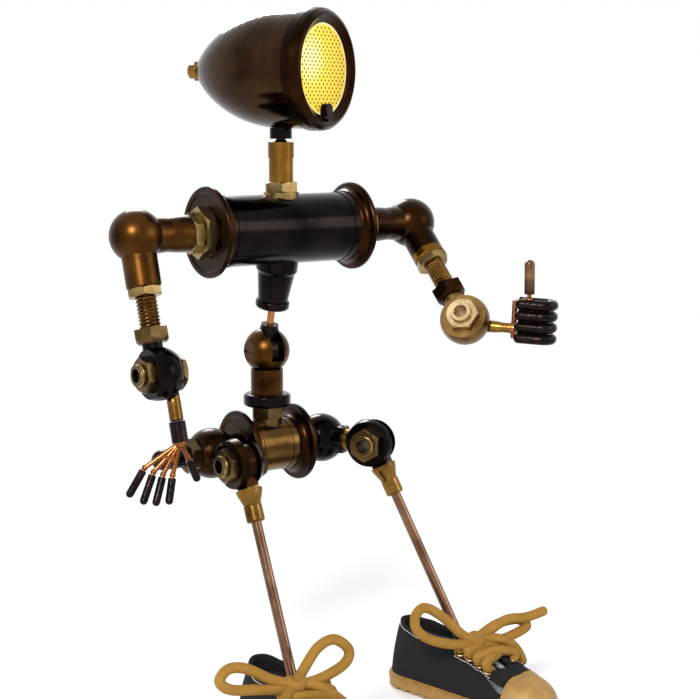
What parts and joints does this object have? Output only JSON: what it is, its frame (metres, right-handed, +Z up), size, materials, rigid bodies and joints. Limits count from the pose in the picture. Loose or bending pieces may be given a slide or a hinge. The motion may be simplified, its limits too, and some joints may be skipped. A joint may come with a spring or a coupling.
{
  "type": "robot shaped desk lamp",
  "caption": "Desk lamp shaped like a standing robot: bullet lamp head, spool torso, jointed pipe-fitting arms and legs, copper-wire hands, rods standing in laced shoes.",
  "frame": {"origin": "on the table at the middle of the outline seen from above", "axes": "+Z up, the robot faces -Y, its left side is +X"},
  "size_m": [0.2122, 0.1638, 0.3435],
  "materials": {
    "dark_bronze": "polished, very dark bronze",
    "shell_bronze": "high gloss, dark bronze with amber reflections",
    "brass": "worn brass",
    "pale_brass": "pale worn brass",
    "copper": "bright copper",
    "black_metal": "black gloss",
    "rod_steel": "satin steel with a warm tint",
    "black_sleeve": "glossy black shrink sleeve",
    "grille": "yellow glow",
    "lens": "frosted amber",
    "lamp": "satin",
    "canvas": "dark charcoal canvas",
    "sole_rubber": "tan rubber",
    "lace": "ochre cotton lace",
    "weight": "plain steel"
  },
  "bodies": {
    "pelvis": {"pelvis_barrel": "brass", "pelvis_flanges": "dark_bronze", "pelvis_axle": "brass", "pelvis_nuts": "pale_brass", "waist_collar": "black_metal", "waist_fork": "dark_bronze", "waist_pin": "dark_bronze"},
    "dimmer": {"dimmer_knob": "black_metal"},
    "torso": {"waist_tongue": "black_metal", "waist_stud": "copper", "waist_fitting": "black_metal", "torso_barrel": "black_metal", "torso_flanges": "dark_bronze", "torso_axle": "brass", "torso_nuts": "pale_brass", "neck_pipe": "brass"},
    "neck_collar": {"head_collar": "brass"},
    "head": {"head_boss": "black_metal", "head_shell": "shell_bronze", "head_bezel": "dark_bronze", "head_grille": "grille", "head_lens": "lens", "head_lamp": "lamp", "head_gland": "brass"},
    "right_upper_arm": {"right_shoulder_ball": "shell_bronze", "right_arm_nipple": "brass", "right_arm_nut": "pale_brass"},
    "right_elbow": {"right_elbow_fork": "dark_bronze", "right_elbow_pin": "pale_brass"},
    "right_forearm": {"right_elbow_tongue": "brass"},
    "right_hand": {"right_hand_wires": "copper", "right_hand_sleeves": "black_sleeve"},
    "right_hip": {"right_hip_elbow": "dark_bronze", "right_hip_fork": "brass", "right_hip_pin": "pale_brass"},
    "right_leg": {"right_leg_tongue": "brass", "right_leg_rod": "rod_steel", "right_shoe_upper": "canvas", "right_shoe_sole": "sole_rubber", "right_shoe_tongue": "canvas", "right_shoe_laces": "lace", "right_shoe_weight": "weight"},
    "left_upper_arm": {"left_shoulder_ball": "shell_bronze", "left_arm_nipple": "brass", "left_arm_nut": "pale_brass"},
    "left_elbow": {"left_elbow_fork": "dark_bronze", "left_elbow_pin": "pale_brass"},
    "left_forearm": {"left_elbow_tongue": "brass"},
    "left_hand": {"left_hand_wires": "copper", "left_hand_fingers": "black_sleeve"},
    "left_hip": {"left_hip_elbow": "dark_bronze", "left_hip_fork": "brass", "left_hip_pin": "pale_brass"},
    "left_leg": {"left_leg_tongue": "brass", "left_leg_rod": "rod_steel", "left_shoe_upper": "canvas", "left_shoe_sole": "sole_rubber", "left_shoe_tongue": "canvas", "left_shoe_laces": "lace", "left_shoe_weight": "weight"}
  },
  "joints": [
    {"name": "waist_bend", "type": "hinge", "parent": "pelvis", "child": "torso", "pos_m": [-0.00758, 0.04712, 0.17653], "axis": [1, 0, 0], "range_deg": [-25, 25]},
    {"name": "neck_turn", "type": "hinge", "parent": "torso", "child": "neck_collar", "pos_m": [-0.00758, 0.03312, 0.27793], "axis": [0, 0, 1], "range_deg": [-100, 100]},
    {"name": "head_tilt", "type": "hinge", "parent": "neck_collar", "child": "head", "pos_m": [-0.00758, 0.03312, 0.27793], "axis": [-0.9092, -0.4163, 0], "range_deg": [-12, 12]},
    {"name": "right_shoulder", "type": "hinge", "parent": "torso", "child": "right_upper_arm", "pos_m": [-0.08758, 0.03312, 0.23803], "axis": [-1, 0, 0], "range_deg": [-35, 110]},
    {"name": "right_arm_turn", "type": "hinge", "parent": "right_upper_arm", "child": "right_elbow", "pos_m": [-0.08758, 0.01489, 0.17647], "axis": [0, -0.284, -0.9588], "range_deg": [-45, 45]},
    {"name": "right_elbow_bend", "type": "hinge", "parent": "right_elbow", "child": "right_forearm", "pos_m": [-0.08758, 0.01489, 0.17647], "axis": [-1, 0, 0], "range_deg": [-5, 110]},
    {"name": "right_wrist", "type": "hinge", "parent": "right_forearm", "child": "right_hand", "pos_m": [-0.08173, 0.0085, 0.1549], "axis": [0, -0.284, -0.9588], "range_deg": [-60, 60]},
    {"name": "left_shoulder", "type": "hinge", "parent": "torso", "child": "left_upper_arm", "pos_m": [0.07242, 0.03312, 0.23803], "axis": [-1, 0, 0], "range_deg": [-60, 80]},
    {"name": "left_arm_turn", "type": "hinge", "parent": "left_upper_arm", "child": "left_elbow", "pos_m": [0.07242, -0.01148, 0.19184], "axis": [0, -0.6947, -0.7193], "range_deg": [-30, 60]},
    {"name": "left_elbow_bend", "type": "hinge", "parent": "left_elbow", "child": "left_forearm", "pos_m": [0.07242, -0.01148, 0.19184], "axis": [-0.7071, -0.5087, 0.4912], "range_deg": [-50, 60]},
    {"name": "left_wrist", "type": "hinge", "parent": "left_forearm", "child": "left_hand", "pos_m": [0.08926, -0.02705, 0.18806], "axis": [0.5647, -0.8243, -0.0406], "range_deg": [-60, 60]},
    {"name": "right_hip_turn", "type": "hinge", "parent": "pelvis", "child": "right_hip", "pos_m": [-0.04058, 0.04712, 0.12803], "axis": [-1, 0, 0], "range_deg": [-12, 20]},
    {"name": "right_leg_swing", "type": "hinge", "parent": "right_hip", "child": "right_leg", "pos_m": [-0.04268, 0.01812, 0.12803], "axis": [-1, 0, 0], "range_deg": [-18, 50]},
    {"name": "left_hip_turn", "type": "hinge", "parent": "pelvis", "child": "left_hip", "pos_m": [0.02542, 0.04712, 0.12803], "axis": [-1, 0, 0], "range_deg": [-12, 20]},
    {"name": "left_leg_swing", "type": "hinge", "parent": "left_hip", "child": "left_leg", "pos_m": [0.0381, 0.02096, 0.12803], "axis": [-0.866, -0.5, 0], "range_deg": [-18, 50]},
    {"name": "dimmer_turn", "type": "hinge", "parent": "pelvis", "child": "dimmer", "pos_m": [-0.05558, 0.04712, 0.12803], "axis": [-1, 0, 0], "range_deg": [0, 270]}
  ]
}
